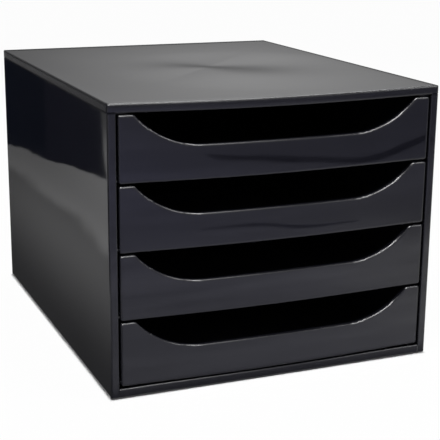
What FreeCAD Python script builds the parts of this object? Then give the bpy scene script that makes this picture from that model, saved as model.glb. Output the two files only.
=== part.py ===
import FreeCAD
import Part
import math
import os

# A desk cabinet with open-fronted drawers for A4+ paper, moulded in plastic.
# A top panel, a base panel, two side panels and a back panel clip into a box. Inside each side panel a
# runner rack carries the drawers on ledges. Each drawer is one moulding, a tray with a scooped front, and a
# stop lug on each of its side walls catches behind the cabinet's front stile. Rubber feet sit in the base.
# Millimetres. +Z is up, the drawers pull out towards -Y, and the origin is on the table under the centre.

# Overall size
cabinet_width = 284.0
cabinet_depth = 347.0
cabinet_height = 234.0
drawer_count = 4

# Cabinet shells
skin = 2.2  # wall of the top, base and side panels
lid_height = 7.0
base_height = 7.0
stile_width = 6.6  # front edge of a side panel, as seen from the front
stile_turn_wall = 1.8  # wall that turns back behind the stile
corner_radius = 1.6  # upright outer edges
edge_radius = 1.0  # top panel's upper edge
seam_bevel = 0.4  # bevel on both sides of the seam under the top panel
small_radius = 0.6  # other outer edges that a hand meets
fit_gap = 0.2  # clearance between clipped pieces

# Back panel and the groove that holds it
back_wall = 2.0
back_tuck = 4.0  # how far the back panel reaches up inside the top panel
rear_lip = 4.4  # width of the side panel's rear return
groove_rib = 2.0

# Clips that hold the top and base panels on the side panels
hook_count = 3
hook_spacing = 110.0
hook_width = 14.0
hook_wall = 2.0
hook_barb = 1.0
barb_height = 2.0
slot_gap = 0.3

# Stiffening ribs under the top panel
rib_wall = 1.4
rib_depth = 3.0
long_rib_count = 3
cross_rib_count = 4
rib_margin = 12.0  # from the hooks and from the back panel

# Feet
foot_drop = 1.2  # how far the cabinet stands above the table
foot_radius = 7.5
foot_recess = 2.0
foot_edge = 0.5
foot_boss_wall = 2.4  # wall round the foot's recess
foot_clear = 4.0  # from the boss to the side panel's flange
foot_inset = 28.0  # from the front or back face to the foot's centre

# Runner rack
rack_wall = 2.0
ledge_wall = 2.0
ledge_hide = 0.5  # the drawer front hangs this far below the ledge
ledge_overlap = 5.4  # how far a ledge reaches under the tray
guide_wall = 1.4
guide_height = 3.0
guide_gap = 0.5
slide_gap = 0.2  # between a ledge and the tray that slides on it
stake_length = 8.0  # bosses of the side panel that hold the rack
stake_height = 5.0
stake_columns = 3
stake_spacing = 110.0

# Drawer
front_gap = 2.0  # round each drawer front
front_depth = 4.5  # edge of the drawer front
front_wall = 2.4
front_overhang = 2.0  # of the drawer front past the tray's side
front_corner = 1.6
front_edge_radius = 1.2
closing_gap = 0.3  # between the drawer front and the ledges it closes against
scoop_depth = 24.8
scoop_radius = 75.6
tab_width = 12.4  # full-height part left at each end of the front
tab_round = 3.0
scoop_rim = 2.2  # width of the thick rim round the scoop
tray_wall = 2.0
tray_floor = 2.0
tray_corner = 5.0
tray_foot_radius = 1.5  # tray's lower edges
wall_drop = 1.2  # tray's side wall below the top of its front
tray_rim = 0.8  # bead along the top of the tray's walls
tray_rim_height = 3.0
rear_gap = 3.6  # between the closed tray and the back panel
drawer_travel = 250.0

# Stop lug on the tray's side wall, a wedge that snaps past the stile when the drawer is put in
lug_flat = 4.0
lug_length = 16.0
lug_height = 9.0
lug_drop = 2.5  # below the tray's top
lug_tip_gap = 1.0  # between the lug's tip and the rack
stop_gap = 0.3  # left between the lug and the stile at full travel

# Places that follow from the sizes
half_width = cabinet_width / 2
front_y = -cabinet_depth / 2
back_y = cabinet_depth / 2
base_bottom = foot_drop
base_top = base_bottom + base_height
base_plate_top = base_bottom + skin
lid_bottom = cabinet_height - lid_height
opening_half = half_width - stile_width
side_inner = half_width - skin
rear_lip_x = half_width - rear_lip

front_half = opening_half - front_gap
front_height = (lid_bottom - base_top - (drawer_count + 1) * front_gap) / drawer_count
pitch = front_height + front_gap
first_front_bottom = base_top + front_gap
front_back_y = front_y + front_depth
ledge_start = front_back_y + closing_gap
stile_back = ledge_start - fit_gap

groove_back = back_y - skin
groove_front = groove_back - back_wall - 2 * fit_gap
rack_end = groove_front - groove_rib - fit_gap
rack_outer = side_inner - fit_gap
rack_inner = rack_outer - rack_wall

tray_half = front_half - front_overhang
ledge_edge = tray_half - ledge_overlap
ledge_bottom = first_front_bottom + ledge_hide
tray_bottom = ledge_bottom + ledge_wall + slide_gap
tray_top = first_front_bottom + front_height - wall_drop
tray_rear = groove_front + fit_gap - rear_gap
scoop_flat = first_front_bottom + front_height - scoop_depth

hook_outer = rack_inner - lug_tip_gap
hook_inner = hook_outer - hook_wall
foot_x = ledge_edge - foot_clear - foot_radius - foot_boss_wall
foot_y = back_y - foot_inset
lug_tip = rack_inner - lug_tip_gap
lug_front = stile_back + drawer_travel + stop_gap


def block(x0, x1, y0, y1, z0, z1):
    return Part.makeBox(x1 - x0, y1 - y0, z1 - z0, FreeCAD.Vector(x0, y0, z0))


def joined(shapes):
    return shapes[0].multiFuse(shapes[1:]).removeSplitter()


def mirrored(shape):
    return shape.mirror(FreeCAD.Vector(0, 0, 0), FreeCAD.Vector(1, 0, 0))


def moved_up(shape, rise):
    copy = shape.copy()
    copy.translate(FreeCAD.Vector(0, 0, rise))
    return copy


def near(value, target):
    return abs(value - target) < 1e-4


def lies_on(edge, *planes):
    """True if the whole edge lies in each plane, given as an axis and its value."""
    box = edge.BoundBox
    spans = {"x": (box.XMin, box.XMax), "y": (box.YMin, box.YMax), "z": (box.ZMin, box.ZMax)}
    pairs = zip(planes[::2], planes[1::2])
    return all(near(limit, place) for axis, place in pairs for limit in spans[axis])


def is_upright(edge):
    box = edge.BoundBox
    return near(box.XLength, 0) and near(box.YLength, 0)


def rounded(shape, radius, wanted):
    return shape.makeFillet(radius, [edge for edge in shape.Edges if wanted(edge)])


def bevelled(shape, size, wanted):
    return shape.makeChamfer(size, [edge for edge in shape.Edges if wanted(edge)])


def spread(count, spacing):
    """Places centred on zero, a spacing apart."""
    return [(index - (count - 1) / 2) * spacing for index in range(count)]


def hooks(root_z, flange_far_z):
    """Clip tongues from a panel at root_z through both side flanges, with barbs past flange_far_z."""
    direction = 1 if flange_far_z > root_z else -1
    barb_near = flange_far_z + direction * fit_gap
    tip = barb_near + direction * barb_height
    low, high = sorted((root_z, tip))
    barb_low, barb_high = sorted((barb_near, tip))
    shapes = []
    for y in spread(hook_count, hook_spacing):
        near_y = y - hook_width / 2
        far_y = y + hook_width / 2
        tongue = block(hook_inner, hook_outer, near_y, far_y, low, high)
        barb = block(hook_inner - hook_barb, hook_inner, near_y, far_y, barb_low, barb_high)
        clip = joined([tongue, barb])
        shapes += [clip, mirrored(clip)]
    return shapes


def top_panel():
    shell = block(-half_width, half_width, front_y, back_y, lid_bottom, cabinet_height)
    shell = rounded(shell, corner_radius, is_upright)
    shell = rounded(shell, edge_radius, lambda edge: lies_on(edge, "z", cabinet_height))
    shell = bevelled(shell, seam_bevel, lambda edge: lies_on(edge, "z", lid_bottom))
    ceiling = cabinet_height - skin
    shell = shell.cut(block(-side_inner, side_inner, front_y + skin, back_y - skin, lid_bottom, ceiling))
    half_x = hook_inner - rib_margin
    half_y = groove_front - rib_margin
    half_rib = rib_wall / 2
    rib_low = ceiling - rib_depth
    ribs = []
    for x in spread(long_rib_count, 2 * half_x / (long_rib_count + 1)):
        ribs.append(block(x - half_rib, x + half_rib, -half_y, half_y, rib_low, ceiling))
    for y in spread(cross_rib_count, 2 * half_y / (cross_rib_count + 1)):
        ribs.append(block(-half_x, half_x, y - half_rib, y + half_rib, rib_low, ceiling))
    return joined([shell] + ribs + hooks(ceiling, lid_bottom - skin))


def base_panel():
    plate_half = side_inner - fit_gap
    band_half = opening_half - fit_gap
    rear_half = rear_lip_x - fit_gap
    plate_end = groove_back - fit_gap
    plate = block(-plate_half, plate_half, ledge_start, plate_end, base_bottom, base_plate_top)
    nose = block(-band_half, band_half, front_y, ledge_start, base_bottom, base_plate_top)
    band = block(-band_half, band_half, front_y, front_y + skin, base_bottom, base_top)
    tail = block(-rear_half, rear_half, plate_end, back_y, base_bottom, base_plate_top)
    rear_band = block(-rear_half, rear_half, groove_back, back_y, base_bottom, base_top)
    panel = joined([plate, nose, band, tail, rear_band])
    panel = rounded(panel, small_radius, lambda edge: lies_on(edge, "y", front_y, "z", base_top))
    boss_radius = foot_radius + foot_boss_wall
    bosses = []
    recesses = []
    for x in (-foot_x, foot_x):
        for y in (-foot_y, foot_y):
            at = FreeCAD.Vector(x, y, base_bottom)
            bosses.append(Part.makeCylinder(boss_radius, foot_recess + skin, at))
            recesses.append(Part.makeCylinder(foot_radius + fit_gap, foot_recess, at))
    panel = joined([panel] + bosses + hooks(base_plate_top, base_plate_top + skin))
    for recess in recesses:
        panel = panel.cut(recess)
    return panel


def stake_places():
    """Centres (y, z) of the bosses that hold a runner rack, halfway up the lowest and highest bays."""
    heights = [first_front_bottom + (bay + 0.5) * pitch for bay in (0, drawer_count - 1)]
    return [(y, z) for y in spread(stake_columns, stake_spacing) for z in heights]


def side_panel():
    """The right side panel: a shallow pan, open towards the drawers."""
    foot_top = base_plate_top + skin
    head_bottom = lid_bottom - skin
    turn_x = opening_half + stile_turn_wall
    flange_end = groove_front - groove_rib
    panel = joined([
        block(side_inner, half_width, front_y, back_y, base_bottom, lid_bottom),  # outer wall
        block(opening_half, half_width, front_y, front_y + skin, base_bottom, lid_bottom),  # stile
        block(opening_half, turn_x, front_y, stile_back, base_bottom, lid_bottom),  # its return
        block(opening_half, half_width, front_y, stile_back, base_bottom, base_plate_top),  # its lower end
        block(opening_half, half_width, front_y, stile_back, head_bottom, lid_bottom),  # its upper end
        block(turn_x, half_width, front_y, ledge_start, head_bottom, lid_bottom),
        block(rear_lip_x, half_width, groove_back, back_y, base_bottom, lid_bottom),  # rear lip
        block(rear_lip_x, half_width, flange_end, groove_front, base_plate_top, lid_bottom),
        block(ledge_edge, half_width, ledge_start, flange_end, head_bottom, lid_bottom),  # top flange
        block(ledge_edge, half_width, ledge_start, flange_end, base_plate_top, foot_top),  # foot flange
    ])
    slot_near_x = hook_inner - slot_gap
    slot_far_x = hook_outer + slot_gap
    for y in spread(hook_count, hook_spacing):
        near_y = y - hook_width / 2 - slot_gap
        far_y = y + hook_width / 2 + slot_gap
        for z in (base_plate_top, head_bottom):
            panel = panel.cut(block(slot_near_x, slot_far_x, near_y, far_y, z, z + skin))
    panel = rounded(panel, corner_radius, lambda edge: is_upright(edge) and lies_on(edge, "x", half_width))
    panel = rounded(panel, small_radius, lambda edge: lies_on(edge, "x", opening_half, "y", front_y))
    panel = bevelled(panel, seam_bevel, lambda edge: lies_on(edge, "z", lid_bottom, "x", half_width))
    stakes = []
    for y, z in stake_places():
        near_y, far_y = y - stake_length / 2, y + stake_length / 2
        low_z, high_z = z - stake_height / 2, z + stake_height / 2
        stakes.append(block(rack_inner + fit_gap, half_width - skin / 2, near_y, far_y, low_z, high_z))
    return joined([panel] + stakes)


def back_panel():
    half = side_inner - fit_gap
    low_y = groove_front + fit_gap
    return block(-half, half, low_y, low_y + back_wall, base_plate_top, lid_bottom + back_tuck)


def runner_rack():
    """The right runner rack: a plate with one ledge and guide rib for each drawer."""
    low = base_plate_top + skin + fit_gap
    high = lid_bottom - skin - fit_gap
    shapes = [block(rack_inner, rack_outer, ledge_start, rack_end, low, high)]
    for bay in range(drawer_count):
        z = ledge_bottom + bay * pitch
        guide_x = tray_half + guide_gap
        guide_top = z + ledge_wall + guide_height
        shapes.append(block(ledge_edge, rack_outer, ledge_start, rack_end, z, z + ledge_wall))
        shapes.append(block(guide_x, guide_x + guide_wall, ledge_start, rack_end, z, guide_top))
    rack = joined(shapes)
    for y, z in stake_places():
        half_y = stake_length / 2 + fit_gap
        half_z = stake_height / 2 + fit_gap
        rack = rack.cut(block(rack_inner, rack_outer, y - half_y, y + half_y, z - half_z, z + half_z))
    return rack


def foot(x, y):
    pad = Part.makeCylinder(foot_radius, foot_drop + foot_recess, FreeCAD.Vector(x, y, 0))
    return rounded(pad, foot_edge, lambda edge: lies_on(edge, "z", 0))


def scooped_face(y, inset, half, bottom, corner):
    """The drawer front's outline at y as a face, with its top and scoop moved into the material by inset."""
    top = first_front_bottom + front_height - inset
    flat = scoop_flat - inset
    radius = scoop_radius + inset
    centre_z = scoop_flat + scoop_radius
    scoop_run = math.sqrt(scoop_radius ** 2 - (scoop_radius - scoop_depth) ** 2)
    centre_x = front_half - tab_width - scoop_run
    round_off = max(tab_round - inset, fit_gap)
    round_z = top - round_off
    round_x = centre_x + math.sqrt((radius + round_off) ** 2 - (centre_z - round_z) ** 2)
    share = radius / (radius + round_off)
    touch_x = centre_x + (round_x - centre_x) * share
    touch_z = centre_z + (round_z - centre_z) * share
    lean = math.atan2(round_x - centre_x, centre_z - round_z)
    scoop_mid_x = centre_x + radius * math.sin(lean / 2)
    scoop_mid_z = centre_z - radius * math.cos(lean / 2)
    round_mid_x = round_x - round_off * math.sin(lean / 2)
    round_mid_z = round_z + round_off * math.cos(lean / 2)
    quarter = corner * (1 - math.sqrt(0.5))
    line, arc = Part.LineSegment, Part.Arc
    right = [
        ((0, flat), (centre_x, flat), line),
        ((centre_x, flat), (scoop_mid_x, scoop_mid_z), (touch_x, touch_z), arc),
        ((touch_x, touch_z), (round_mid_x, round_mid_z), (round_x, top), arc),
        ((round_x, top), (half - corner, top), line),
        ((half - corner, top), (half - quarter, top - quarter), (half, top - corner), arc),
        ((half, top - corner), (half, bottom + corner), line),
        ((half, bottom + corner), (half - quarter, bottom + quarter), (half - corner, bottom), arc),
        ((half - corner, bottom), (0, bottom), line),
    ]
    edges = []
    for side in (1, -1):
        for *points, curve in right:
            places = [FreeCAD.Vector(side * x, y, z) for x, z in points]
            edges.append(curve(*places).toShape())
    return Part.Face(Part.Wire(Part.__sortEdges__(edges)))


def lowest_drawer():
    """A tray and its scooped front in one moulding."""
    front = scooped_face(front_y, 0, front_half, first_front_bottom, front_corner)
    front = front.extrude(FreeCAD.Vector(0, front_depth, 0))
    front = rounded(front, front_edge_radius, lambda edge: lies_on(edge, "y", front_y))

    tub = block(-tray_half, tray_half, front_back_y, tray_rear, tray_bottom, tray_top)
    tub = rounded(tub, tray_corner, lambda edge: is_upright(edge) and lies_on(edge, "y", tray_rear))
    meets_front = lambda edge: lies_on(edge, "y", front_back_y)
    tub = rounded(tub, tray_foot_radius, lambda edge: lies_on(edge, "z", tray_bottom) and not meets_front(edge))
    bead_half = tray_half + tray_rim
    bead_rear = tray_rear + tray_rim
    bead = block(-bead_half, bead_half, front_back_y, bead_rear, tray_top - tray_rim_height, tray_top)
    bead_corner = tray_corner + tray_rim
    bead = rounded(bead, bead_corner, lambda edge: is_upright(edge) and lies_on(edge, "y", bead_rear))

    room_half = tray_half - tray_wall
    room_rear = tray_rear - tray_wall
    room_floor = tray_bottom + tray_floor
    room = block(-room_half, room_half, front_back_y, room_rear, room_floor, tray_top + front_height)
    room_corner = tray_corner - tray_wall
    room = rounded(room, room_corner, lambda edge: is_upright(edge) and lies_on(edge, "y", room_rear))
    room = rounded(room, tray_foot_radius, lambda edge: lies_on(edge, "z", room_floor))
    pocket = scooped_face(front_y + front_wall, scoop_rim, room_half, room_floor, tray_foot_radius)
    pocket = pocket.extrude(FreeCAD.Vector(0, 2 * front_depth, 0))

    lug = stop_lug()
    return joined([front, tub, bead, lug, mirrored(lug)]).cut(room).cut(pocket).removeSplitter()


def stop_lug():
    """The wedge on the right side wall of the lowest drawer, square to the front and sloped to the rear."""
    root = tray_half - tray_wall / 2
    high = tray_top - lug_drop
    outline = [
        (root, lug_front),
        (lug_tip, lug_front),
        (lug_tip, lug_front + lug_flat),
        (tray_half, lug_front + lug_length),
        (root, lug_front + lug_length),
    ]
    corners = [FreeCAD.Vector(x, y, high - lug_height) for x, y in outline]
    return Part.Face(Part.makePolygon(corners + corners[:1])).extrude(FreeCAD.Vector(0, 0, lug_height))


def build():
    nodes = {
        "top_panel": top_panel(),
        "base_panel": base_panel(),
        "back_panel": back_panel(),
        "right_side_panel": side_panel(),
        "right_runner_rack": runner_rack(),
    }
    nodes["left_side_panel"] = mirrored(nodes["right_side_panel"])
    nodes["left_runner_rack"] = mirrored(nodes["right_runner_rack"])
    for row, y in (("front", -foot_y), ("rear", foot_y)):
        for side, x in (("left", -foot_x), ("right", foot_x)):
            nodes[f"foot_{row}_{side}"] = foot(x, y)
    drawer = lowest_drawer()
    for number in range(1, drawer_count + 1):
        nodes[f"drawer_{number}"] = moved_up(drawer, (drawer_count - number) * pitch)
    return nodes


os.makedirs("parts", exist_ok=True)
for name, shape in build().items():
    shape.exportStep(os.path.join("parts", name + ".step"))
    print(name, "solids", len(shape.Solids), "valid", shape.isValid(), "volume", round(shape.Volume))
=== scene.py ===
import math

import bpy
from mathutils import Matrix, Vector


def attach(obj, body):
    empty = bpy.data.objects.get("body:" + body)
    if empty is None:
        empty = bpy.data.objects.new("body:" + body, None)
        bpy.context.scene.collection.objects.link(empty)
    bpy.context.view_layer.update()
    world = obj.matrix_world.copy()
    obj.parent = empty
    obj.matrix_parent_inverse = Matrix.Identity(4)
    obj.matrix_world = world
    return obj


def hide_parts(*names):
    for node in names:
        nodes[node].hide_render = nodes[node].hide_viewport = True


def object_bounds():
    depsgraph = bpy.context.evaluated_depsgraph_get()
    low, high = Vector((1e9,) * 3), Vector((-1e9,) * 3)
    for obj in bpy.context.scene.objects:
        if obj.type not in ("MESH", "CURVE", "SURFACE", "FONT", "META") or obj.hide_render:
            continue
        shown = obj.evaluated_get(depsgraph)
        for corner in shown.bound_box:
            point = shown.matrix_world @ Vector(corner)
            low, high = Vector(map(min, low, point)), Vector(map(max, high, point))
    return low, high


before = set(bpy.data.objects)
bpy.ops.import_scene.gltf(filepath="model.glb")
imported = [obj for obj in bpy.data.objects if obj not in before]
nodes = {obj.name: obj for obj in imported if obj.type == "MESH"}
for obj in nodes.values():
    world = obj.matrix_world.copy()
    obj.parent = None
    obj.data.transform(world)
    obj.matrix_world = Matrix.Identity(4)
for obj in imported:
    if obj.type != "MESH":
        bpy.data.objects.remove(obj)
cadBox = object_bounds()
boxLow, boxHigh = cadBox
halfWidth, halfDepth, tall = boxHigh  # the casing stands on the frame's origin
skirt = 0.007  # the lid's skirt, down to the seam
drawerNames = sorted(name for name in nodes if name.startswith("drawer_"))
mm = 0.001
print("frame:", len(nodes), "nodes, box", [round(side, 4) for side in boxHigh - boxLow])


# Node helpers: inputs take numbers or sockets

nodeGrid = {"columns": 8, "width": 180, "height": 220}


def put(tree, kind, inputs=None, **settings):
    node = tree.nodes.new(kind)
    row, column = divmod(len(tree.nodes), nodeGrid["columns"])
    node.location = (nodeGrid["width"] * column, -nodeGrid["height"] * row)
    for name, value in settings.items():
        setattr(node, name, value)
    for socket, value in (inputs or {}).items():
        if isinstance(value, bpy.types.NodeSocket):
            tree.links.new(value, node.inputs[socket])
        else:
            node.inputs[socket].default_value = value
    return node


def calc(tree, operation, first, second=0.0, clamp=False):
    return put(tree, "ShaderNodeMath", {0: first, 1: second}, operation=operation, use_clamp=clamp).outputs[0]


def addAll(tree, values):
    total = values[0]
    for value in values[1:]:
        total = calc(tree, "ADD", total, value)
    return total


def mulAll(tree, values):
    total = values[0]
    for value in values[1:]:
        total = calc(tree, "MULTIPLY", total, value)
    return total


def split(tree, vector):
    return put(tree, "ShaderNodeSeparateXYZ", {0: vector}).outputs


def vectorMath(tree, operation, *vectors):
    return put(tree, "ShaderNodeVectorMath", dict(enumerate(vectors)), operation=operation).outputs


# A smooth step. The looks below hold ramps as tuples: where it starts and ends, then the results there

def ramp(tree, value, low, high, outLow=0.0, outHigh=1.0):
    inputs = {"Value": value, "From Min": low, "From Max": high, "To Min": outLow, "To Max": outHigh}
    return put(tree, "ShaderNodeMapRange", inputs, interpolation_type="SMOOTHSTEP").outputs["Result"]


def noise(tree, point, scale, detail=2.0, seed=0.0, roughness=0.5):
    inputs = {"Vector": point, "W": seed, "Scale": scale, "Detail": detail, "Roughness": roughness}
    return put(tree, "ShaderNodeTexNoise", inputs, noise_dimensions="4D").outputs["Fac"]


def mixColour(tree, share, first, second):
    node = put(tree, "ShaderNodeMix", {"Factor": share}, data_type="RGBA")
    for socket, value in ((6, first), (7, second)):  # the colour sockets A and B
        if isinstance(value, bpy.types.NodeSocket):
            tree.links.new(value, node.inputs[socket])
        else:
            node.inputs[socket].default_value = (*value, 1.0)
    return node.outputs[2]


def newTree(name):
    material = bpy.data.materials.new(name)
    material.use_nodes = True
    material.node_tree.nodes.clear()
    return material, material.node_tree


def newGroup(name, inputs, outputs):
    group = bpy.data.node_groups.new(name, "ShaderNodeTree")
    for label, default in inputs.items():
        kind = "NodeSocketVector" if default is None else "NodeSocketFloat"
        socket = group.interface.new_socket(name=label, in_out="INPUT", socket_type=kind)
        if default is not None:
            socket.default_value = default
    for label in outputs:
        group.interface.new_socket(name=label, in_out="OUTPUT", socket_type="NodeSocketFloat")
    given = group.nodes.new("NodeGroupInput").outputs
    result = group.nodes.new("NodeGroupOutput").inputs
    return group, given, result


def place(tree, group, **values):
    return put(tree, "ShaderNodeGroup", values, node_tree=group).outputs


# Shared effects

waveLook = {"detail": 2.5, "roughness": 0.45, "middle": 0.5, "tone": (0.3, 0.7)}


def makeWallWaves():  # slow unevenness of a moulded wall, height in metres
    group, given, result = newGroup("wallWaves", {"Point": None, "Size": 0.09, "Depth": 2e-5, "Seed": 0.0},
                                    ["Height", "Tone"])
    scale = calc(group, "DIVIDE", 1.0, given["Size"])
    field = noise(group, given["Point"], scale, waveLook["detail"], given["Seed"], waveLook["roughness"])
    lift = calc(group, "SUBTRACT", field, waveLook["middle"])
    group.links.new(calc(group, "MULTIPLY", lift, given["Depth"]), result["Height"])
    group.links.new(ramp(group, field, *waveLook["tone"]), result["Tone"])
    return group


grainLook = {"detail": 2.0, "seed": 3.1, "roughness": 0.55}


def makeSkinGrain():  # fine orange peel of the tool's polish
    group, given, result = newGroup("skinGrain", {"Point": None, "Size": 0.0025, "Depth": 4e-7}, ["Height"])
    scale = calc(group, "DIVIDE", 1.0, given["Size"])
    field = noise(group, given["Point"], scale, **grainLook)
    group.links.new(calc(group, "MULTIPLY", field, given["Depth"]), result["Height"])
    return group


scratchLook = {
    "turnsAndSeeds": ((0.35, 1.0), (-0.9, 7.0), (1.45, 13.0)), "stretch": (22.0, 2600.0, 2600.0),
    "line": (0.66, 0.74), "patchScale": 24.0, "patch": (0.5, 0.7),
}


def makeHairScratches():  # thin lines in three directions, in patches
    group, given, result = newGroup("hairScratches", {"Point": None, "Amount": 0.5}, ["Mask"])
    total = None
    for turn, seed in scratchLook["turnsAndSeeds"]:
        angles = (turn, 0.6 * turn, 1.3 * turn)
        turned = put(group, "ShaderNodeVectorRotate", {"Vector": given["Point"], "Rotation": angles},
                     rotation_type="EULER_XYZ").outputs[0]
        drawn = vectorMath(group, "MULTIPLY", turned, scratchLook["stretch"])[0]
        line = ramp(group, noise(group, drawn, scale=1.0, detail=1.0, seed=seed), *scratchLook["line"])
        cloud = noise(group, given["Point"], scratchLook["patchScale"], seed=seed + 2.0)
        line = calc(group, "MULTIPLY", line, ramp(group, cloud, *scratchLook["patch"]))
        total = line if total is None else calc(group, "MAXIMUM", total, line)
    group.links.new(calc(group, "MULTIPLY", total, given["Amount"], clamp=True), result["Mask"])
    return group


rubLook = {
    "samples": 4, "turned": (0.995, 0.86), "patch": (0.35, 0.7),
    "patchNoise": {"scale": 60.0, "detail": 3.0, "seed": 5.0},
}


def makeEdgeRub():  # paler, duller plastic where edges are handled
    group, given, result = newGroup("edgeRub", {"Point": None, "Radius": 0.0012, "Amount": 0.5}, ["Mask"])
    bevel = put(group, "ShaderNodeBevel", {"Radius": given["Radius"]}, samples=rubLook["samples"]).outputs[0]
    plain = put(group, "ShaderNodeNewGeometry").outputs["Normal"]
    facing = vectorMath(group, "DOT_PRODUCT", bevel, plain)["Value"]
    edge = ramp(group, facing, *rubLook["turned"])
    patchy = ramp(group, noise(group, given["Point"], **rubLook["patchNoise"]), *rubLook["patch"])
    rubbed = calc(group, "MULTIPLY", edge, patchy)
    group.links.new(calc(group, "MULTIPLY", rubbed, given["Amount"], clamp=True), result["Mask"])
    return group


dustLook = {
    "facingUp": (0.35, 0.95), "cloud": (0.35, 0.75), "dot": (0.055, 0.035), "chosen": (0.72, 0.8),
    "cloudNoise": {"scale": 18.0, "detail": 4.0, "seed": 2.0, "roughness": 0.6}, "speckScale": 210.0,
}


def makeDust():  # specks and a thin film on faces that look up
    group, given, result = newGroup("dust", {"Point": None, "Amount": 0.3}, ["Film", "Specks"])
    normal = put(group, "ShaderNodeNewGeometry").outputs["Normal"]
    facingUp = ramp(group, split(group, normal)["Z"], *dustLook["facingUp"])
    cloud = ramp(group, noise(group, given["Point"], **dustLook["cloudNoise"]), *dustLook["cloud"])
    film = calc(group, "MULTIPLY", facingUp, cloud)
    group.links.new(calc(group, "MULTIPLY", film, given["Amount"]), result["Film"])
    cells = put(group, "ShaderNodeTexVoronoi",
                {"Vector": given["Point"], "Scale": dustLook["speckScale"], "Randomness": 1.0}).outputs
    dot = ramp(group, cells["Distance"], *dustLook["dot"])
    chance = put(group, "ShaderNodeSeparateColor", {0: cells["Color"]}).outputs[0]
    dot = mulAll(group, [dot, ramp(group, chance, *dustLook["chosen"]), facingUp])
    group.links.new(calc(group, "MULTIPLY", dot, given["Amount"], clamp=True), result["Specks"])
    return group


smudgeLook = {
    "ovalScale": 30.0, "oval": (0.52, 0.68), "printNoise": {"scale": 260.0, "detail": 2.0, "seed": 9.0},
    "print": (0.3, 0.7, 0.5, 1.0),
}


def makeSmudges():  # finger grease: soft ovals that dull the gloss
    group, given, result = newGroup("smudges", {"Point": None, "Amount": 0.5, "Seed": 0.0}, ["Mask"])
    bent = noise(group, given["Point"], smudgeLook["ovalScale"], seed=given["Seed"])
    wide = ramp(group, bent, *smudgeLook["oval"])
    fine = ramp(group, noise(group, given["Point"], **smudgeLook["printNoise"]), *smudgeLook["print"])
    mask = calc(group, "MULTIPLY", wide, fine)
    group.links.new(calc(group, "MULTIPLY", mask, given["Amount"], clamp=True), result["Mask"])
    return group


wallWaves = makeWallWaves()
skinGrain = makeSkinGrain()
hairScratches = makeHairScratches()
edgeRub = makeEdgeRub()
dust = makeDust()
smudges = makeSmudges()
print("effects:", len(bpy.data.node_groups), "groups")


# Bent pieces: the lid, the base and the drawers hang a little between their supports

bending = {  # metres at mid width, with the half width that hangs and where it fades along the depth
    "lid": {"amount": 0.0022, "half": 0.1354, "reach": halfDepth, "power": 1.2},
    "base": {"amount": 0.0009, "half": 0.104, "reach": halfDepth, "power": 1.2},
    "drawer": {"amount": 0.0018, "half": 0.1262, "reach": 0.0, "power": 1.2},
    "slopeStep": 1e-4, "sameDigits": 7,
}
cutsX = [0.012 * step for step in range(-11, 12)]  # flat faces are cut here, so that they can bend
cutsY = [0.024 * step for step in range(-7, 8)]


def sag(amount, half, reach, power):  # a drop across the width, that fades towards the rear
    def drop(x, y):
        across = max(0.0, 1.0 - (x / half) ** 2) ** power
        if not reach:
            return amount * across
        along = min(1.0, max(0.0, (reach - y) / (2 * reach)))
        return amount * across * along * along * (3.0 - 2.0 * along)
    return drop


def splitAt(polygon, axis, limit):
    low, high = [], []
    for index, (point, normal) in enumerate(polygon):
        nextPoint, nextNormal = polygon[(index + 1) % len(polygon)]
        if point[axis] <= limit:
            low.append((point, normal))
        if point[axis] >= limit:
            high.append((point, normal))
        if (point[axis] - limit) * (nextPoint[axis] - limit) < 0:
            share = (limit - point[axis]) / (nextPoint[axis] - point[axis])
            cut = point.lerp(nextPoint, share)
            cut[axis] = limit
            both = (cut, normal.lerp(nextNormal, share))
            low.append(both)
            high.append(both)
    return low, high


def sliced(polygons, axis, limits):
    done = []
    for polygon in polygons:
        rest = polygon
        for limit in limits:
            low, high = splitAt(rest, axis, limit)
            if len(low) > 2 and max(point[axis] for point, _ in low) > min(point[axis] for point, _ in low):
                done.append(low)
                rest = high
            elif len(high) > 2:
                rest = high
            else:
                break
        if len(rest) > 2:
            done.append(rest)
    return done


def bentNormal(normal, point, drop):
    step = bending["slopeStep"]
    slopeX = (drop(point.x + step, point.y) - drop(point.x - step, point.y)) / (2 * step)
    slopeY = (drop(point.x, point.y + step) - drop(point.x, point.y - step)) / (2 * step)
    return Vector((normal.x + slopeX * normal.z, normal.y + slopeY * normal.z, normal.z)).normalized()


def makeBent(name, body, drop, cutsX, cutsY=()):
    mesh = nodes[name].data
    mesh.calc_loop_triangles()
    points = [vertex.co.copy() for vertex in mesh.vertices]
    normals = [corner.vector.copy() for corner in mesh.corner_normals]
    triangles = [[(points[vertex], normals[loop]) for vertex, loop in zip(triangle.vertices, triangle.loops)]
                 for triangle in mesh.loop_triangles]

    index, faces, vertices, bentNormals = {}, [], [], []
    for polygon in sliced(sliced(triangles, 0, cutsX), 1, cutsY):
        corners, turned = [], []
        for point, normal in polygon:
            key = tuple(round(coordinate, bending["sameDigits"]) for coordinate in point)
            if key not in index:
                index[key] = len(vertices)
                vertices.append((point.x, point.y, point.z - drop(point.x, point.y)))
            if index[key] in corners:
                continue
            corners.append(index[key])
            turned.append(bentNormal(normal, point, drop))
        if len(corners) > 2:
            faces.append(corners)
            bentNormals.extend(turned)

    bentMesh = bpy.data.meshes.new(name + "_bent")
    bentMesh.from_pydata(vertices, [], faces)
    bentMesh.polygons.foreach_set("use_smooth", [True] * len(faces))
    bentMesh.normals_split_custom_set(bentNormals)
    bentMesh.materials.append(None)
    piece = bpy.data.objects.new(name + "_bent", bentMesh)
    bpy.context.scene.collection.objects.link(piece)
    piece.matrix_world = nodes[name].matrix_world
    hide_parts(name)
    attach(piece, body)
    return piece


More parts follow.
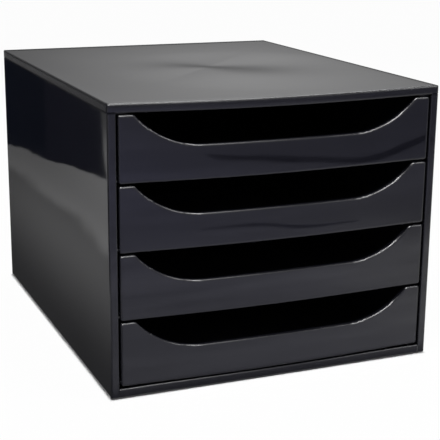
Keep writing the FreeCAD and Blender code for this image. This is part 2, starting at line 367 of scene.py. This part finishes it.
pieces = dict(nodes)
pieces["top_panel"] = makeBent("top_panel", "root", sag(**bending["lid"]), cutsX, cutsY)
pieces["base_panel"] = makeBent("base_panel", "root", sag(**bending["base"]), cutsX, cutsY)
for name in drawerNames:
    pieces[name] = makeBent(name, name, sag(**bending["drawer"]), cutsX)
faces = {name: len(piece.data.polygons) for name, piece in pieces.items() if "bent" in piece.name}
print("bent pieces, with their faces:", faces)


# Plastics

surface = {
    "roundingSamples": 6, "gloss": 0.5, "scratchDepth": 8e-7, "speckHeight": 1e-5,
    "duller": {"scratches": 0.12, "rub": 0.15, "grease": 0.06, "film": 0.25},
}
seamLook = {  # ramps over the distance from the seam, in metres
    # the seam's gloss ramp is painted shade: less reflection where the gap would be shaded
    "sharp": (0.0012, 0.0026), "gloss": (0.0006, 0.0012, 0.05, surface["gloss"]),
    "insideOfSide": (halfWidth - 0.006, halfWidth - 0.0075, 0.0, 0.01),
}


def awayFromSeam(tree, point, seam):  # the seam runs over the side panels only
    spot = split(tree, point)
    away = calc(tree, "ABSOLUTE", calc(tree, "SUBTRACT", spot["Z"], seam))
    inside = ramp(tree, calc(tree, "ABSOLUTE", spot["X"]), *seamLook["insideOfSide"])
    return calc(tree, "ADD", away, inside)


def sharpAtSeam(tree, rounded, away):  # the edges that meet at a seam are not rounded
    plain = put(tree, "ShaderNodeNewGeometry").outputs["Normal"]
    turn = vectorMath(tree, "SUBTRACT", rounded, plain)[0]
    return vectorMath(tree, "MULTIPLY_ADD", turn, ramp(tree, away, *seamLook["sharp"]), plain)[0]


def plastic(name, finish, form=None):
    material, tree = newTree(name)
    point = put(tree, "ShaderNodeTexCoord").outputs["Object"]
    waves = place(tree, wallWaves, Point=point, Size=finish["waveSize"], Depth=finish["waveDepth"],
                  Seed=finish["seed"])
    grain = place(tree, skinGrain, Point=point, Size=finish["grainSize"], Depth=finish["grainDepth"])
    scratches = place(tree, hairScratches, Point=point, Amount=finish["scratches"])["Mask"]
    rub = place(tree, edgeRub, Point=point, Amount=finish["edgeRub"])["Mask"]
    settled = place(tree, dust, Point=point, Amount=finish["dust"])
    grease = place(tree, smudges, Point=point, Amount=finish["smudges"], Seed=finish["seed"])["Mask"]

    colour = mixColour(tree, waves["Tone"], finish["colour"], finish["colourHigh"])
    colour = mixColour(tree, rub, colour, finish["rubColour"])
    colour = mixColour(tree, settled["Film"], colour, finish["dustColour"])
    colour = mixColour(tree, settled["Specks"], colour, finish["speckColour"])

    masks = {"scratches": scratches, "rub": rub, "grease": grease, "film": settled["Film"]}
    roughness = ramp(tree, waves["Tone"], 0.0, 1.0, finish["roughness"], finish["roughnessHigh"])
    for label, mask in masks.items():
        gain = calc(tree, "MULTIPLY", mask, surface["duller"][label])
        roughness = calc(tree, "ADD", roughness, gain, clamp=True)

    height = calc(tree, "ADD", waves["Height"], grain["Height"])
    height = calc(tree, "SUBTRACT", height, calc(tree, "MULTIPLY", scratches, surface["scratchDepth"]))
    height = calc(tree, "ADD", height, calc(tree, "MULTIPLY", settled["Specks"], surface["speckHeight"]))
    if form:
        height = calc(tree, "ADD", height, form(tree, point))
    rounded = put(tree, "ShaderNodeBevel", {"Radius": finish["rounding"]},
                  samples=surface["roundingSamples"]).outputs[0]
    gloss = surface["gloss"]
    if "seam" in finish:  # painted shade: near the seam the gloss is turned down, so the gap reads dark as if shaded
        away = awayFromSeam(tree, point, finish["seam"])
        rounded = sharpAtSeam(tree, rounded, away)
        gloss = ramp(tree, away, *seamLook["gloss"])
    normal = put(tree, "ShaderNodeBump", {"Height": height, "Distance": 1.0, "Normal": rounded}).outputs[0]
    shader = put(tree, "ShaderNodeBsdfPrincipled",
                 {"Base Color": colour, "Roughness": roughness, "Normal": normal, "IOR": finish["ior"],
                  "Specular IOR Level": gloss})
    put(tree, "ShaderNodeOutputMaterial", {"Surface": shader.outputs[0]})
    return material


def dress(name, material):
    pieces[name].material_slots[0].material = material


casing = {
    "colour": (0.0070, 0.0070, 0.0100), "colourHigh": (0.0090, 0.0090, 0.0120),
    "rubColour": (0.05, 0.05, 0.053), "dustColour": (0.12, 0.118, 0.112), "speckColour": (0.4, 0.39, 0.37),
    "roughness": 0.03, "roughnessHigh": 0.045, "ior": 1.5,
    "waveSize": 0.1, "waveDepth": 1.9e-4, "grainSize": 0.0022, "grainDepth": 2e-7,
    "scratches": 0.3, "edgeRub": 0.2, "dust": 0.04, "smudges": 0.25, "rounding": 0.0016, "seed": 1.0,
}
sidePanel = {**casing, "waveDepth": 3.2e-4, "seam": tall - skirt, "seed": 2.6}
lid = {
    **casing, "roughness": 0.11, "roughnessHigh": 0.13, "waveDepth": 3e-5, "dust": 0.08, "smudges": 0.12,
    "rounding": 0.0022, "seam": tall - skirt, "seed": 4.0,
}
drawer = {
    **casing, "colour": (0.0070, 0.0070, 0.0105), "colourHigh": (0.0088, 0.0088, 0.0125),
    "roughness": 0.025, "roughnessHigh": 0.04, "waveSize": 0.07, "waveDepth": 1.2e-4, "rounding": 0.002,
    "firstSeed": 10.0,
}
inner = {**casing, "roughness": 0.3, "roughnessHigh": 0.38, "edgeRub": 0.1, "waveDepth": 3e-5}
backSheet = {**casing, "roughness": 0.34, "roughnessHigh": 0.42, "grainSize": 0.0012, "grainDepth": 4e-6}
rubber = {
    **casing, "colour": (0.012, 0.012, 0.012), "colourHigh": (0.02, 0.02, 0.019),
    "roughness": 0.72, "roughnessHigh": 0.85, "grainSize": 0.0008, "grainDepth": 1e-5, "ior": 1.45,
}
flow = {  # the lid's flow mark round its gate: a soft kink that widens and fades with distance
    "gate": (0.007, 0.0, tall - 0.0005), "turn": math.radians(43.0), "slope": 0.027, "narrow": 0.008,
    "spread": 0.5, "centre": (0.03, 0.0, 0.0), "fade": (0.125, 0.02), "strength": (0.0, 0.11, 1.25, 0.5),
}
lidEdges = {  # ramps from the lid's flat to its edges, with the heights reached there
    "rear": (halfDepth - 0.0125, halfDepth, 0.0, -2.6e-4),
    "right": (halfWidth - 0.0055, halfWidth, 0.0, -1.8e-4),
    "front": (0.0085 - halfDepth, -halfDepth, 0.0, -3.2e-4), "frontFade": (0.09, -0.02),
    "skirtMiddle": tall - skirt / 2, "skirtCrown": -12.0, "skirtLean": -0.18,
    "upright": (0.6, 0.9),  # how far a face has to stand up to count as the skirt's
}


def gateFlow(tree, point):
    moved = vectorMath(tree, "SUBTRACT", point, flow["gate"])[0]
    turned = put(tree, "ShaderNodeVectorRotate", {"Vector": moved, "Angle": flow["turn"]},
                 rotation_type="Z_AXIS").outputs[0]
    parts = split(tree, turned)
    far = calc(tree, "ABSOLUTE", parts["X"])
    width = calc(tree, "ADD", calc(tree, "MULTIPLY", far, flow["spread"]), flow["narrow"])
    bend = calc(tree, "TANH", calc(tree, "DIVIDE", parts["Y"], width))
    distance = vectorMath(tree, "DISTANCE", turned, flow["centre"])["Value"]
    return mulAll(tree, [bend, width, -flow["slope"], ramp(tree, distance, *flow["fade"]),
                         ramp(tree, far, *flow["strength"])])


def lidForm(tree, point):  # heights of the flow mark, the sinks at the edges and the skirt's roundness
    spot = split(tree, point)
    rear = ramp(tree, spot["Y"], *lidEdges["rear"])
    front = ramp(tree, spot["Y"], *lidEdges["front"])
    front = calc(tree, "MULTIPLY", front, ramp(tree, spot["X"], *lidEdges["frontFade"]))
    right = ramp(tree, spot["X"], *lidEdges["right"])
    facing = split(tree, put(tree, "ShaderNodeNewGeometry").outputs["Normal"])
    facesFront = ramp(tree, calc(tree, "ABSOLUTE", facing["Y"]), *lidEdges["upright"])
    facesSide = ramp(tree, calc(tree, "ABSOLUTE", facing["X"]), *lidEdges["upright"])
    below = calc(tree, "SUBTRACT", spot["Z"], lidEdges["skirtMiddle"])
    crown = mulAll(tree, [below, below, lidEdges["skirtCrown"], facesFront])
    lean = mulAll(tree, [below, lidEdges["skirtLean"], facesSide])
    return addAll(tree, [gateFlow(tree, point), rear, front, right, crown, lean])


casingBlack = plastic("casingBlack", casing)
sideBlack = plastic("sideBlack", sidePanel)
innerBlack = plastic("innerBlack", inner)
for name in ("left_side_panel", "right_side_panel"):
    dress(name, sideBlack)
dress("base_panel", casingBlack)
for name in ("left_runner_rack", "right_runner_rack"):
    dress(name, innerBlack)
dress("top_panel", plastic("lidBlack", lid, lidForm))
dress("back_panel", plastic("backBlack", backSheet))
for number, name in enumerate(drawerNames, start=1):
    dress(name, plastic(f"drawerBlack{number}", {**drawer, "seed": drawer["firstSeed"] + number}))
footRubber = plastic("footRubber", rubber)
for name in nodes:
    if name.startswith("foot_"):
        dress(name, footRubber)
print("finishes:", len(bpy.data.materials), "materials")


# Studio: a floor and a white surround, with cards that only reflections show (cards in millimetres)

def card(name, corners, material, real=False):
    mesh = bpy.data.meshes.new(name)
    mesh.from_pydata([Vector(corner) * mm for corner in corners], [], [tuple(range(len(corners)))])
    panel = bpy.data.objects.new(name, mesh)
    bpy.context.scene.collection.objects.link(panel)
    mesh.materials.append(material)
    panel.visible_camera = real
    panel.visible_shadow = real
    panel.visible_diffuse = real


def flat(points, height):
    return [(x, y, height) for x, y in points]


def rectangle(left, front, right, back, height):
    return flat([(left, front), (right, front), (right, back), (left, back)], height)


def strip(look, course):
    upper, lower = [], []
    for part in range(look["parts"] + 1):
        x = look["from"] + (look["to"] - look["from"]) * part / look["parts"]
        beyond = (x - look["bulgeAt"]) / look["bulgeReach"]
        width = look["thin"] + look["bulge"] * math.exp(-beyond * beyond)
        upper.append((x, course(x) + width / 2))
        lower.append((x, course(x) - width / 2))
    return flat(lower + upper[::-1], look["height"])


def inMillimetres(tree):
    point = put(tree, "ShaderNodeTexCoord").outputs["Object"]
    wide = put(tree, "ShaderNodeVectorMath", {0: point, "Scale": 1 / mm}, operation="SCALE").outputs[0]
    parts = split(tree, wide)
    return wide, parts["X"], parts["Y"]


def grey(tree, level, blue=None):
    channels = {0: level, 1: level, 2: level if blue is None else blue}
    return put(tree, "ShaderNodeCombineColor", channels).outputs[0]


def glow(tree, colour):
    lit = put(tree, "ShaderNodeEmission", {"Color": colour})
    put(tree, "ShaderNodeOutputMaterial", {"Surface": lit.outputs[0]})


def plainCard(name, colour):
    material, tree = newTree(name)
    glow(tree, (*colour, 1.0))
    return material


floorLook = {
    "corners": (-6000, -6000, 6000, 6000, 0.0), "grey": (0.86, 0.86, 0.86, 1.0),
    "white": (1.0, 1.0, 1.0, 1.0), "clear": (0.0, 2.0, 0.0, 0.97),  # beside the casing the camera sees white
}


def floorMaterial():
    material, tree = newTree("studioFloor")
    matt = put(tree, "ShaderNodeBsdfDiffuse", {"Color": floorLook["grey"]}).outputs[0]
    plain = put(tree, "ShaderNodeEmission", {"Color": floorLook["white"]}).outputs[0]
    seen = put(tree, "ShaderNodeLightPath").outputs["Is Camera Ray"]
    x, y = inMillimetres(tree)[1:]
    beside = calc(tree, "SUBTRACT", calc(tree, "ABSOLUTE", x), halfWidth / mm)
    ahead = calc(tree, "SUBTRACT", calc(tree, "ABSOLUTE", y), halfDepth / mm)
    clear = ramp(tree, calc(tree, "MAXIMUM", beside, ahead), *floorLook["clear"])
    both = put(tree, "ShaderNodeMixShader",
               {0: calc(tree, "MULTIPLY", seen, clear), 1: matt, 2: plain}).outputs[0]
    below = put(tree, "ShaderNodeNewGeometry").outputs["Backfacing"]
    nothing = put(tree, "ShaderNodeBsdfTransparent").outputs[0]  # a view from below sees through the floor
    oneSided = put(tree, "ShaderNodeMixShader", {0: below, 1: both, 2: nothing})
    put(tree, "ShaderNodeOutputMaterial", {"Surface": oneSided.outputs[0]})
    return material


leftBoard = {  # painted shade: a glowing card, seen only in reflections, for the floor beside the left panel, painted darkest next to the panel as the casing's shadow
    "corners": (-2500, -420, -halfWidth / mm - 1.5, 4500, 0.4),
    "ripple": {"scale": 0.006, "detail": 1.0, "seed": 2.0}, "rippleWidth": 40.0,
    "near": (145.0, 245.0, 0.04, 0.19), "middle": (250.0, 272.0, 0.0, 0.17), "far": (290.0, 420.0, 0.0, 0.3),
    "rearwards": (60.0, 850.0, 1.46, 0.54), "end": (430.0, 500.0, 1.0, 0.4),
    "darkFrom": (385.0, 400.0), "darkUpTo": (500.0, 470.0),
}


def leftBoardMaterial():
    material, tree = newTree("leftBoard")
    wide, x, y = inMillimetres(tree)
    away = calc(tree, "MULTIPLY", x, -1.0)
    ripple = calc(tree, "SUBTRACT", noise(tree, wide, **leftBoard["ripple"]), 0.5)
    wavy = calc(tree, "ADD", away, calc(tree, "MULTIPLY", ripple, leftBoard["rippleWidth"]))
    # painted shade: the floor's light, darkest next to the panel where the casing's shadow falls
    level = addAll(tree, [ramp(tree, away, *leftBoard["near"]), ramp(tree, wavy, *leftBoard["middle"]),
                          ramp(tree, away, *leftBoard["far"])])
    # painted shade: a darker patch further out from the panel
    dark = calc(tree, "MULTIPLY", ramp(tree, away, *leftBoard["darkFrom"]),
                ramp(tree, y, *leftBoard["darkUpTo"]))
    level = mulAll(tree, [level, ramp(tree, y, *leftBoard["rearwards"]), ramp(tree, away, *leftBoard["end"]),
                          calc(tree, "SUBTRACT", 1.0, dark)])
    glow(tree, grey(tree, level))
    return material


frontBoard = {  # painted reflection: a glowing card, seen only in reflections, for the floor in front, darker and bluer with distance, with painted shade where it meets the base
    "corners": (-700, -2600, 2200, -halfDepth / mm - 2.5, 0.4), "near": (180.0, 330.0, 0.86, 0.74),
    "middle": (450.0, 600.0, 0.0, -0.32), "far": (780.0, 1000.0, 0.0, -0.13),
    "nearSide": (-60.0, 240.0, -0.26, 0.22), "nearSideFade": (600.0, 380.0),
    "farSide": (120.0, 380.0, 0.3, -0.26), "farSideFade": (700.0, 950.0), "contactShade": (174.0, 205.0, 0.2, 1.0),
    "cloudNoise": {"scale": 0.004, "detail": 2.0, "seed": 5.0}, "cloud": (0.3, 0.7, 0.92, 1.08),
    "streakStretch": (0.006, 0.028, 1.0), "streakNoise": {"scale": 1.0, "detail": 3.0, "seed": 8.0},
    "streak": (0.3, 0.7, 0.86, 1.14),
    "blueAway": (200.0, 1000.0, 1.03, 1.4), "blueRight": (0.0, 400.0, 1.08, 0.9),
}


def frontBoardMaterial():
    material, tree = newTree("frontBoard")
    wide, x, y = inMillimetres(tree)
    away = calc(tree, "MULTIPLY", y, -1.0)
    level = addAll(tree, [ramp(tree, away, *frontBoard[part]) for part in ("near", "middle", "far")])
    near = calc(tree, "MULTIPLY", ramp(tree, x, *frontBoard["nearSide"]),
                ramp(tree, away, *frontBoard["nearSideFade"]))
    far = calc(tree, "MULTIPLY", ramp(tree, x, *frontBoard["farSide"]),
               ramp(tree, away, *frontBoard["farSideFade"]))
    cloud = noise(tree, wide, **frontBoard["cloudNoise"])
    drawn = vectorMath(tree, "MULTIPLY", wide, frontBoard["streakStretch"])[0]
    streaks = noise(tree, drawn, **frontBoard["streakNoise"])
    # the contact ramp is painted shade next to the base
    level = mulAll(tree, [level, addAll(tree, [near, far, 1.0]), ramp(tree, away, *frontBoard["contactShade"]),
                          ramp(tree, cloud, *frontBoard["cloud"]),
                          ramp(tree, streaks, *frontBoard["streak"])])
    blue = mulAll(tree, [level, ramp(tree, away, *frontBoard["blueAway"]),
                         ramp(tree, x, *frontBoard["blueRight"])])
    glow(tree, grey(tree, level, blue))
    return material


overhead = {  # painted highlight: a glowing card above the front that gives no diffuse light and shows only in reflections, as the highlights on the edges; it fades at its left, right and rear sides
    "corners": (-850, -1450, 850, -430, 1600), "right": (850.0, 430.0, 0.0, 15.0),
    "middle": (280.0, 80.0, 0.0, 13.0), "rear": (-430.0, -600.0), "left": (-850.0, -450.0),
}


def overheadMaterial():
    material, tree = newTree("overhead")
    x, y = inMillimetres(tree)[1:]
    level = calc(tree, "ADD", ramp(tree, x, *overhead["right"]), ramp(tree, x, *overhead["middle"]))
    level = mulAll(tree, [level, ramp(tree, y, *overhead["rear"]), ramp(tree, x, *overhead["left"])])
    glow(tree, grey(tree, level))
    return material


flags = {  # dark boards far behind the left side
    "black": (0.002, 0.004, 0.009), "blue": (0.010, 0.011, 0.018), "foot": 0.5,
    "edge": [(-362, 550, 0.5), (-345, 640, 0.5), (-345, 640, 108), (-359, 566, 96)],
    "tops": [(-345, 640, 108), (-318, 715, 122), (-308, 800, 133), (-287, 860, 140), (-160, 1360, 150)],
}
farStrip = {  # a dark strip on the floor, seen as a streak on the top drawer; a rounded ridge in plan
    "from": 272.0, "to": 683.0, "parts": 24, "height": 0.8, "colour": (0.0, 0.0, 0.0),
    "peak": (478.0, -898.0), "round": 60.0, "leftSlope": 0.64, "rightSlope": 0.82,
    "thin": 28.0, "bulge": 26.0, "bulgeAt": 380.0, "bulgeReach": 90.0,
}
nearStrip = {  # a thinner and paler one for the drawer below; a soft step in plan
    "from": 106.0, "to": 303.0, "parts": 16, "height": 0.8, "colour": (0.12, 0.12, 0.16),
    "middle": (196.0, -597.0), "round": 18.0, "step": 16.0,
    "thin": 4.0, "bulge": 15.0, "bulgeAt": 200.0, "bulgeReach": 65.0,
}


def farCourse(x):
    peakX, peakY = farStrip["peak"]
    slope = farStrip["leftSlope"] if x < peakX else farStrip["rightSlope"]
    return peakY - slope * (math.hypot(x - peakX, farStrip["round"]) - farStrip["round"])


def nearCourse(x):
    middleX, middleY = nearStrip["middle"]
    return middleY + nearStrip["step"] * math.tanh((x - middleX) / nearStrip["round"])


card("studioFloor", rectangle(*floorLook["corners"]), floorMaterial(), real=True)
card("leftBoard", rectangle(*leftBoard["corners"]), leftBoardMaterial())
card("frontBoard", rectangle(*frontBoard["corners"]), frontBoardMaterial())
flagBlack = plainCard("flagBlack", flags["black"])
flagBlue = plainCard("flagBlue", flags["blue"])
card("sideFlagEdge", flags["edge"], flagBlue)
for number, (near, far) in enumerate(zip(flags["tops"], flags["tops"][1:])):
    corners = [(*near[:2], flags["foot"]), (*far[:2], flags["foot"]), far, near]
    card(f"sideFlag{number}", corners, flagBlue if number == 0 else flagBlack)
card("farEdge", strip(farStrip, farCourse), plainCard("darkEdge", farStrip["colour"]))
card("nearEdge", strip(nearStrip, nearCourse), plainCard("paleEdge", nearStrip["colour"]))
card("overhead", rectangle(*overhead["corners"]), overheadMaterial())

sky = {  # brightness of the surround by height, by the angle from the rear and towards the front
    "low": (0.04, 0.2, 0.06, 0.64), "high": (0.27, 0.5, 0.0, -0.5), "left": (0.06, 0.42, 0.25, 1.0),
    "right": (0.62, 0.42, 0.65, 1.0), "front": (-0.1, -0.6, 0.0, 0.6), "camera": (1.0, 1.0, 1.0, 1.0),
}


def makeWorld():
    world = bpy.data.worlds.new("studioWorld")
    bpy.context.scene.world = world
    world.use_nodes = True
    tree = world.node_tree
    tree.nodes.clear()
    direction = split(tree, put(tree, "ShaderNodeTexCoord").outputs["Generated"])
    azimuth = calc(tree, "ARCTAN2", direction["X"], direction["Y"])
    level = addAll(tree, [ramp(tree, direction["Z"], *sky["low"]), ramp(tree, direction["Z"], *sky["high"])])
    sides = calc(tree, "MULTIPLY", ramp(tree, azimuth, *sky["left"]), ramp(tree, azimuth, *sky["right"]))
    level = calc(tree, "MULTIPLY", level, sides)
    level = calc(tree, "ADD", level, ramp(tree, direction["Y"], *sky["front"]))
    lit = put(tree, "ShaderNodeBackground", {"Color": grey(tree, level)}).outputs[0]
    white = put(tree, "ShaderNodeBackground", {"Color": sky["camera"]}).outputs[0]
    seen = put(tree, "ShaderNodeLightPath").outputs["Is Camera Ray"]
    both = put(tree, "ShaderNodeMixShader", {0: seen, 1: lit, 2: white})
    put(tree, "ShaderNodeOutputWorld", {"Surface": both.outputs[0]})


makeWorld()

lamps = {
    "aim": (0.0, 0.0, 0.1),
    "leftBox": {"place": (-0.5, -0.55, 1.3), "size": (0.6, 0.5), "power": 11.0},
    "rightBox": {"place": (0.95, -0.9, 1.1), "size": (0.5, 0.4), "power": 6.0},
    "rearBox": {"place": (0.56, 0.85, 1.15), "size": (0.7, 0.45), "power": 8.0},
}


def softbox(name, place, size, power):
    light = bpy.data.lights.new(name, "AREA")
    light.shape = "RECTANGLE"
    light.size, light.size_y = size
    light.energy = power
    lamp = bpy.data.objects.new(name, light)
    bpy.context.scene.collection.objects.link(lamp)
    lamp.location = place
    lamp.rotation_euler = (Vector(lamps["aim"]) - Vector(place)).to_track_quat("-Z", "Y").to_euler()


for name in ("leftBox", "rightBox", "rearBox"):
    softbox(name, **lamps[name])


# Camera

view = {
    "azimuth": -22.59, "elevation": 15.05, "roll": 0.53, "distance": 1.111, "aim": (0.0206, 0.0, 0.0874),
    "focalPixels": 1175.0, "frame": 440.0, "sensor": 36.0, "nearest": 0.05, "farthest": 30.0,
}


def makeCamera():
    azimuth, elevation = math.radians(view["azimuth"]), math.radians(view["elevation"])
    back = Vector((math.sin(azimuth) * math.cos(elevation), -math.cos(azimuth) * math.cos(elevation),
                   math.sin(elevation)))
    data = bpy.data.cameras.new("mainCamera")
    data.sensor_width = view["sensor"]
    data.lens = view["focalPixels"] / view["frame"] * view["sensor"]
    data.clip_start, data.clip_end = view["nearest"], view["farthest"]
    camera = bpy.data.objects.new("mainCamera", data)
    bpy.context.scene.collection.objects.link(camera)
    turn = (-back).to_track_quat("-Z", "Y").to_matrix() @ Matrix.Rotation(math.radians(view["roll"]), 3, "Z")
    spot = Vector(view["aim"]) + back * view["distance"]
    camera.matrix_world = Matrix.Translation(spot) @ turn.to_4x4()
    bpy.context.scene.camera = camera


makeCamera()
bpy.context.scene.view_settings.view_transform = "Standard"
print("studio and camera done")
